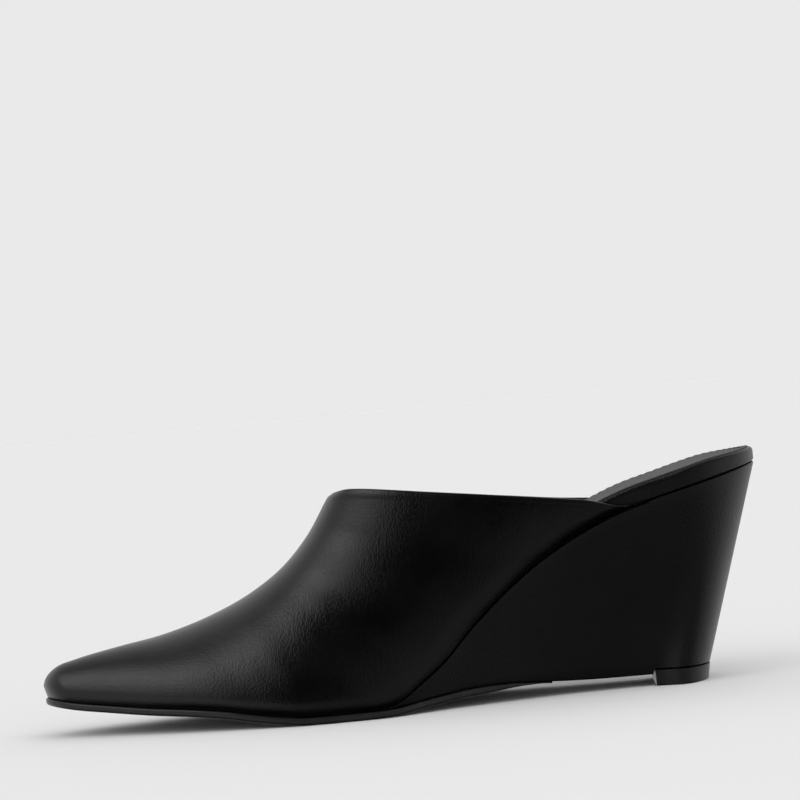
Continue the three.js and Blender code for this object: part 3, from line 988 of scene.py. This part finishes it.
    def build(self, material: bpy.types.Material) -> bpy.types.Object:
        """Builds the upper: leather side, folded top edge, and lining one wall thickness inside.

        From the collar line inwards the leather rolls over, more so at the throat, then comes a faint bead with
        a groove behind it where the fold is stuck down. At the seam the leather tucks under.

        Args:
            material: its leather.

        Returns:
            The object.
        """
        last = self.shoe.last
        grid = self.skin()
        from_collar = self.from_first(grid[::-1], 0)[::-1]
        from_seam = np.minimum(self.from_first(grid, 1), self.from_first(grid[:, ::-1], 1)[:, ::-1])
        tail = np.exp(-((from_seam**2 + from_collar**2) / self.tail_fade**2))
        normal = self.normals(grid, np.clip(self.tail_hold * tail, 0, 1))
        off_tail = self.off_tail(from_seam)
        from_outer = self.from_first(grid, 1)
        from_throat = np.abs(from_outer - from_outer[:, [self.steps]])
        throat = np.exp(-((from_throat / self.throat_half_width) ** 2))
        depth = self.edge_roll + (self.throat_roll - self.edge_roll) * throat
        reach = self.edge_roll_reach + (self.throat_roll_reach - self.edge_roll_reach) * throat
        bead = self.bead * np.exp(-(((from_collar - 2 * self.bead_width) / self.bead_width) ** 2))
        groove = self.groove * np.exp(-(((from_collar - self.groove_place) / self.bead_width) ** 2))
        rolled = depth * (1 - rounded_end(from_collar, reach))
        on_wedge = smoothstep(grid[..., 0], last.throat_reach, last.throat_reach + self.tuck_fade)
        tucked = self.tuck * on_wedge * (1 - tail) * (1 - np.clip(from_seam / self.tuck_height, 0, 1)) ** 2
        outside = grid + normal * ((bead - groove - rolled) * off_tail - tucked)[..., None]
        inwards = normal.copy()
        inwards[:, [0, -1], 2] = 0
        inwards = unit(inwards)
        inside = grid - inwards * (self.wall * (1 - self.tail_skive * tail))[..., None]
        for sheet in (outside, inside):
            sheet[:, [0, -1], 2] = last.seam_height(sheet[:, [0, -1], 0]) + last.clearance
        angle = np.linspace(0, math.pi, self.fold_steps + 2)[1:-1, None, None]
        middle = (outside[-1] + inside[-1]) / 2
        arm = (outside[-1] - inside[-1]) / 2
        ahead = unit(grid[-1] - grid[-2])
        fold = middle + np.cos(angle) * arm + np.sin(angle) * ahead * (self.wall / 2 * off_tail[-1])[:, None]
        sheet = np.concatenate([outside, fold, inside[::-1]])
        rows, columns = sheet.shape[:2]
        faces = grid_faces(rows, columns, wrap=False).tolist()
        ends = np.arange(len(grid))
        for column in (0, columns - 1):
            near = ends * columns + column
            far = (rows - 1 - ends) * columns + column
            faces += np.stack([near[:-1], near[1:], far[1:], far[:-1]], axis=1).tolist()
        made = self.shoe.piece("upper_leather", sheet, faces, material, "upper", "upper_leather", crease=60)
        self.mark_lining(made, self.shoe.placed(inside.reshape(-1, 3)))
        return made

    def mark_lining(self, made: bpy.types.Object, inside: Array) -> None:
        """Writes an attribute that is 1 on the lining's points and 0 on the leather's.

        Args:
            made: the upper.
            inside: the lining's points, in metres in the frame.
        """
        tree = KDTree(len(inside))
        for i, point in enumerate(inside.tolist()):
            tree.insert(point, i)
        tree.balance()
        marks = [float(tree.find(v.co)[2] < self.mark_reach) for v in made.data.vertices]
        made.data.attributes.new("lining", "FLOAT", "POINT").data.foreach_set("value", marks)


@dataclass
class Bottom:
    """The sole, the wedge with its heel tap, and the footbed with its stitched sock lining."""

    shoe: Shoe
    sole_margin: float = 0.7
    wall: float = 1.8
    footbed_rim: float = 6.5
    footbed_front: float = 2.6
    toes_share: float = 0.35
    rim_share: float = 0.75
    footbed_step: float = 20
    footbed_drop: float = 1.6
    footbed_round: float = 20
    sock_thickness: float = 0.5
    sock_inset: float = 1.6
    hollow: float = 0.5
    tap_lean: float = 0.9
    wedge_front: float = 123.2
    step_reach: float = 70
    step_width: float = 0.05
    stations: int = 200

    def outsole(self, material: bpy.types.Material) -> bpy.types.Object:
        """Builds the sole, with a rolled lip that stands out past the seam.

        Args:
            material: its finish.

        Returns:
            The object.
        """
        last = self.shoe.last
        x = crowded_ends(last.toe_overhang, last.outsole_reach, self.stations)
        edge = last.base_edge(x, last.length, -self.sole_margin)
        profile = EdgeProfile(top_roll=0.8, bottom_roll=1.2)
        rings = slab_rings(Face(edge, last.sole_height), Face(edge, last.tread_height), profile)
        return self.shoe.slab("outsole_rubber", rings, material, "outsole", "sole")

    def wedge(self, material: bpy.types.Material) -> bpy.types.Object:
        """Builds the covered wedge.

        Straight lines join the seam line to a base whose level runs smoothly into the top of the tap, and they
        are cut off, or carried on, at the wedge's true underside with its step.

        Args:
            material: its finish.

        Returns:
            The object.
        """
        last = self.shoe.last
        step = last.tap_front - last.clearance
        low = np.concatenate([
            np.linspace(self.wedge_front, step, self.stations // 2),
            crowded_end(step + self.step_width, last.base_back, self.stations // 2),
        ])  # fmt: skip
        stretch = (last.length - self.wedge_front) / (last.base_back - self.wedge_front)
        high = self.wedge_front + (low - self.wedge_front) * stretch
        ground = np.where(low > step, last.tap_thickness, last.sole_height(low)) + last.clearance
        climb = (last.tap_thickness - last.sole_height(step)) * smoothstep(low, step - self.step_reach, step)
        level = last.sole_height(low) + last.clearance + climb
        level = np.where(low > step, last.tap_thickness + last.clearance, level)
        top = Face(last.seam_edge(high), last.seam_height)
        base = Face(last.base_edge(low, last.base_back), lambda _: level)
        seam = last.seam_height(top.edge(Side.OUTER, 0)[0])
        profile = EdgeProfile(top_roll=0.7, bottom_roll=0.5, wall_steps=16)
        rings = slab_rings(top, base, profile, cut=(seam - ground) / (seam - level))
        return self.shoe.slab("wedge_cover", rings, material, "wedge_heel", "wedge_leather")

    def tap(self, material: bpy.types.Material) -> bpy.types.Object:
        """Builds the heel tap, whose back goes on leaning in like the wedge's.

        Args:
            material: its finish.

        Returns:
            The object.
        """
        last = self.shoe.last
        x = crowded_end(last.tap_front, last.base_back, self.stations // 2)
        upright = last.base_edge(x, last.base_back)

        def edge(lean: float) -> Outline:
            """The outline, drawn in towards its front by a lean.

            Args:
                lean: how far its back end moves.

            Returns:
                The outline.
            """

            def at(side: Side, inset: Any) -> tuple[Array, Array]:
                """The outline on one side, as places and their y."""
                here, y = upright(side, inset)
                return here - lean * (here - last.tap_front) / last.tap_length, y

            return at

        top = Face(edge(0), lambda _: np.full_like(x, last.tap_thickness))
        bottom = Face(edge(self.tap_lean), lambda _: np.zeros_like(x))
        rings = slab_rings(top, bottom, EdgeProfile(top_roll=0.3, bottom_roll=0.5))
        return self.shoe.slab("heel_tap_rubber", rings, material, "heel_tap", "tap")

    def footbed_edge(self, x: Array, extra: float) -> Outline:
        """The footbed's outline: inside the upper in front, and out to the full outline behind the collar's tails.

        Args:
            x: places along the shoe.
            extra: how much further in the outline stands.

        Returns:
            The outline.
        """
        last = self.shoe.last
        step = smoothstep(x, last.collar_reach, last.collar_reach + self.footbed_step)
        return last.seam_edge(x, (self.wall + last.clearance) * (1 - step) + extra)

    def footbed_top(self, x: Array) -> Array:
        """The footbed's height line: it thickens from the toes to the rim and rounds down at the very back.

        Args:
            x: places along the shoe.

        Returns:
            The line's heights.
        """
        last = self.shoe.last
        blend = smoothstep(x, self.toes_share * last.length, self.rim_share * last.length)
        thickness = self.footbed_front + (self.footbed_rim - self.footbed_front) * blend
        drop = self.footbed_drop * smoothstep(x, last.length - self.footbed_round, last.length)
        return last.seam_height(x) + last.clearance + thickness - drop

    def footbed(self, material: bpy.types.Material) -> bpy.types.Object:
        """Builds the leather-wrapped footbed, with a soft rim.

        Args:
            material: its finish.

        Returns:
            The object.
        """
        last = self.shoe.last
        x = crowded_ends(last.toe_overhang, last.length, self.stations)
        edge = self.footbed_edge(x, 0)
        bottom = Face(edge, lambda at: last.seam_height(at) + last.clearance)
        profile = EdgeProfile(top_roll=1.5, bottom_roll=0.8)
        rings = slab_rings(Face(edge, self.footbed_top), bottom, profile, hollow=(self.hollow, 0))
        return self.shoe.slab("footbed_wrap", rings, material, "insole_board", "footbed_leather")

    def sock(self, material: bpy.types.Material) -> bpy.types.Object:
        """Builds the thin sock lining on top of the footbed.

        Args:
            material: its finish.

        Returns:
            The object.
        """
        last = self.shoe.last
        x = crowded_ends(last.toe_overhang, last.length, self.stations)
        edge = self.footbed_edge(x, self.sock_inset)
        top = Face(edge, lambda at: self.footbed_top(at) + last.clearance / 2 + self.sock_thickness)
        bottom = Face(edge, lambda at: self.footbed_top(at) + last.clearance / 2)
        profile = EdgeProfile(top_roll=0.2, bottom_roll=0.1, roll_steps=3, wall_steps=2)
        rings = slab_rings(top, bottom, profile, hollow=(self.hollow, self.hollow))
        return self.shoe.slab("sock_leather", rings, material, "sock_lining", "sock")


@dataclass
class EdgeStitch:
    """A row of stitches near the edge of the sock lining, round the back of the heel seat."""

    shoe: Shoe
    bottom: Bottom
    from_edge: float = 1.5
    front: float = 122
    pitch: float = 3.1
    stitch: float = 2.3
    radius: float = 0.22
    around: int = 8
    along: int = 6
    path_steps: int = 400
    short_of_end: float = 0.001

    def path(self) -> Array:
        """The stitched line over the sock lining, from one side round the back to the other.

        Returns:
            The line's points.
        """
        last = self.shoe.last
        x = crowded_end(self.front, last.length - self.short_of_end, self.path_steps)
        edge = self.bottom.footbed_edge(x, self.bottom.sock_inset + self.from_edge)
        lines = []
        for side in Side:
            at, y = edge(side, 0)
            lines.append(combined(at, y, self.bottom.footbed_top(at) + last.clearance / 2 + self.bottom.sock_thickness))
        return np.concatenate([lines[0], lines[1][::-1]])

    def build(self, material: bpy.types.Material) -> bpy.types.Object:
        """Lays one short thread after another along the path: each is a tube that swells from its two ends.

        Args:
            material: its finish.

        Returns:
            The object.
        """
        path = self.path()
        run = run_along(path)
        count = int(run[-1] // self.pitch)
        start = (np.arange(count) + 0.5) * self.pitch
        share = (1 - np.cos(np.linspace(0, math.pi, self.along + 1))) / 2
        at = start[:, None] + self.stitch * (share - 0.5)[None, :]
        middle = np.stack([np.interp(at, run, path[:, i]) for i in range(3)], axis=-1)
        ahead = unit(np.gradient(middle, axis=1))
        level = unit(np.cross(ahead, np.array([0, 0, 1.0])))
        up = np.cross(level, ahead)
        turn = np.linspace(0, 2 * math.pi, self.around, endpoint=False)
        thick = self.radius * np.sqrt(np.clip(1 - (2 * share - 1) ** 2, 0, 1))[None, :, None, None]
        ring = np.cos(turn)[:, None] * level[:, :, None] + np.sin(turn)[:, None] * up[:, :, None]
        points = middle[:, :, None] + ring * thick
        size = (self.along + 1) * self.around
        quads = grid_faces(self.along + 1, self.around, wrap=True)
        faces = (quads[None] + (np.arange(count) * size)[:, None, None]).reshape(-1, 4).tolist()
        return self.shoe.piece("sock_stitches", points, faces, material, None, "sock", crease=80)


# Studio


@dataclass
class Studio:
    """The pale floor, the soft light and the camera at the photograph's angle."""

    shoe: Shoe
    pale: float = 0.82
    paper: float = 0.742
    floor_reach: float = 40.0
    floor_drop: float = 2e-5
    camera_distance: float = 1000
    camera_height: float = 107.35
    camera_target: float = 136.29
    camera_yaw: float = -2
    camera_roll: float = 5.51
    focal_pixels: float = 2830.69
    image_pixels: float = 800
    front_light: float = 0.2
    side_light: float = 0.4
    back_light: float = 0.5
    softbox: Direction = (-0.59, -0.20, 0.78)
    softbox_light: float = 0.24
    softbox_angle: float = 29
    low_softbox: Direction = (-0.66, -0.45, 0.60)
    low_softbox_light: float = 0.62
    low_softbox_angles: tuple[float, float] = (9, 19)
    sky: Direction = (0, 0, 2)
    sky_light: float = 0.85
    sky_angle: float = 160
    fill: Direction = (0.2, -0.9, 0.7)
    fill_light: float = 2.2
    fill_angle: float = 110
    corners: ClassVar[tuple[tuple[int, int], ...]] = ((-1, -1), (1, -1), (1, 1), (-1, 1))
    flags: ClassVar[tuple[Direction, ...]] = ((-0.2, -0.62, 0.76), (-0.22, -0.83, 0.52), (-0.3, -0.92, 0.27))
    flag_angles: tuple[float, float] = (14, 23)
    flag_depth: float = 1.0
    side_range: tuple[float, float] = (0.45, 0.95)
    side_lean: float = 0.12
    back_range: tuple[float, float] = (0, 0.85)
    floor_range: tuple[float, float] = (-0.8, -0.3)

    def camera(self) -> None:
        """Sets a level camera, turned by its yaw about the upright and rolled about its own axis."""
        yaw, roll = math.radians(self.camera_yaw), math.radians(self.camera_roll)
        ahead = Vector((math.sin(yaw), math.cos(yaw), 0))
        right = Vector((math.cos(yaw), -math.sin(yaw), 0))
        up = Vector((0, 0, 1))
        target = np.array([self.camera_target, 0, self.camera_height])
        data = bpy.data.cameras.new("camera")
        data.sensor_width = 36
        data.lens = self.focal_pixels * data.sensor_width / self.image_pixels
        data.clip_start, data.clip_end = 0.01, 100
        camera = bpy.data.objects.new("camera", data)
        bpy.context.collection.objects.link(camera)
        across = right * math.cos(roll) - up * math.sin(roll)
        above = up * math.cos(roll) + right * math.sin(roll)
        turned = Matrix((across, above, -ahead)).transposed().to_4x4()
        place = Vector(self.shoe.placed(target)) - ahead * self.camera_distance * self.shoe.to_metres
        camera.matrix_world = Matrix.Translation(place) @ turned
        bpy.context.scene.camera = camera

    def floor(self) -> None:
        """Lays a large pale floor just below the shoe."""
        corners = [(x * self.floor_reach, y * self.floor_reach, -self.floor_drop) for x, y in self.corners]
        mesh = bpy.data.meshes.new("floor")
        mesh.from_pydata(corners, [], [(0, 1, 2, 3)])
        shader = Shader("floor_paper")
        shader.surface["Base Color"].default_value = (self.paper, self.paper, self.paper, 1)
        shader.surface["Roughness"].default_value = 1.0
        shader.surface["Specular IOR Level"].default_value = 0.0
        mesh.materials.append(shader.material)
        floor = bpy.data.objects.new("floor", mesh)
        bpy.context.collection.objects.link(floor)
        floor.visible_glossy = False

    def world(self) -> None:
        """Surrounds the shoe with a pale room, and gives reflections the room behind the camera too."""
        world = bpy.data.worlds.new("room")
        bpy.context.scene.world = world
        world.use_nodes = True
        world.node_tree.nodes.clear()
        nodes = Nodes(world.node_tree)
        towards = nodes.link("ShaderNodeTexCoord", {}, "Generated")
        parts = nodes.node("ShaderNodeSeparateXYZ", {}, Vector=towards)
        x, y, z = (Value(nodes, parts.outputs[i]) for i in range(3))

        def patch(middle: Direction, core: float, rim: float) -> Value:
            """1 within an angle of a direction, 0 beyond a wider one, both in degrees.

            Args:
                middle: the direction.
                core: the smaller angle.
                rim: the wider angle.

            Returns:
                The patch as a number of the direction looked in.
            """
            straight = tuple(Vector(middle).normalized())
            near = nodes.value(
                "ShaderNodeVectorMath", {"operation": "DOT_PRODUCT"}, "Value", **{"0": towards, "1": straight}
            )
            return nodes.ramp(near, math.cos(math.radians(rim)), math.cos(math.radians(core)))

        sides = nodes.ramp(abs(x - self.side_lean), *self.side_range) * self.side_light
        behind = nodes.ramp(y, *self.back_range) * self.back_light
        dark = nodes.ramp(z, *self.floor_range)
        for flag in self.flags:
            dark = dark * (1 - patch(flag, *self.flag_angles) * self.flag_depth)
        seen = nodes.value("ShaderNodeLightPath", {}, "Is Camera Ray")
        low = patch(self.low_softbox, *self.low_softbox_angles) * self.low_softbox_light
        strength = (sides + behind + low + self.front_light) * dark * (1 - seen) + seen * self.pale
        background = nodes.link("ShaderNodeBackground", {}, "Background", Color=(1, 1, 1, 1), Strength=strength)
        nodes.node("ShaderNodeOutputWorld", {}, Surface=background)

    def sun(self, name: str, energy: float, towards: Direction, angle: float, reflected: bool) -> None:
        """Adds a far round lamp that either lights matt surfaces or shows in reflections.

        Args:
            name: its name.
            energy: its power.
            towards: its direction, seen from the shoe.
            angle: how wide it looks, in degrees.
            reflected: whether it shows in reflections, and doesn't light matt surfaces.
        """
        data = bpy.data.lights.new(name, "SUN")
        data.energy = energy
        data.angle = math.radians(angle)
        lamp = bpy.data.objects.new(name, data)
        bpy.context.collection.objects.link(lamp)
        lamp.location = towards
        lamp.rotation_euler = (-Vector(towards)).to_track_quat("-Z", "Y").to_euler()
        lamp.visible_glossy = reflected
        lamp.visible_diffuse = not reflected

    def build(self) -> None:
        """Sets up the whole studio."""
        bpy.context.scene.view_settings.view_transform = "Standard"
        self.camera()
        self.floor()
        self.world()
        self.sun("sky", self.sky_light, self.sky, self.sky_angle, reflected=False)
        self.sun("fill", self.fill_light, self.fill, self.fill_angle, reflected=False)
        self.sun("softbox", self.softbox_light, self.softbox, self.softbox_angle, reflected=True)


def main() -> None:
    """Builds the shoe piece by piece, then the studio."""
    logging.basicConfig(level=logging.INFO, format="%(name)s: %(message)s")
    shoe = Shoe(Last())
    Upper(shoe).build(Leather("calf_upper", lining=(0.012, 0.012, 0.013)).build())
    bottom = Bottom(shoe)
    bottom.wedge(Leather("calf_wedge", roughness=0.36, ripple_depth=3e-5).build())
    bottom.footbed(Leather("calf_footbed", roughness=0.34, ripple_depth=3e-5).build())
    bottom.sock(SockLeather("sock_leather").build())
    bottom.outsole(Rubber("sole_rubber", colour=(0.011, 0.011, 0.012), roughness=0.26).build())
    bottom.tap(Rubber("tap_rubber", colour=(0.005, 0.005, 0.0055), roughness=0.4).build())
    EdgeStitch(shoe, bottom).build(Thread("sock_thread").build())
    Studio(shoe).build()
    log.info("built")


if __name__ == "__main__":
    main()
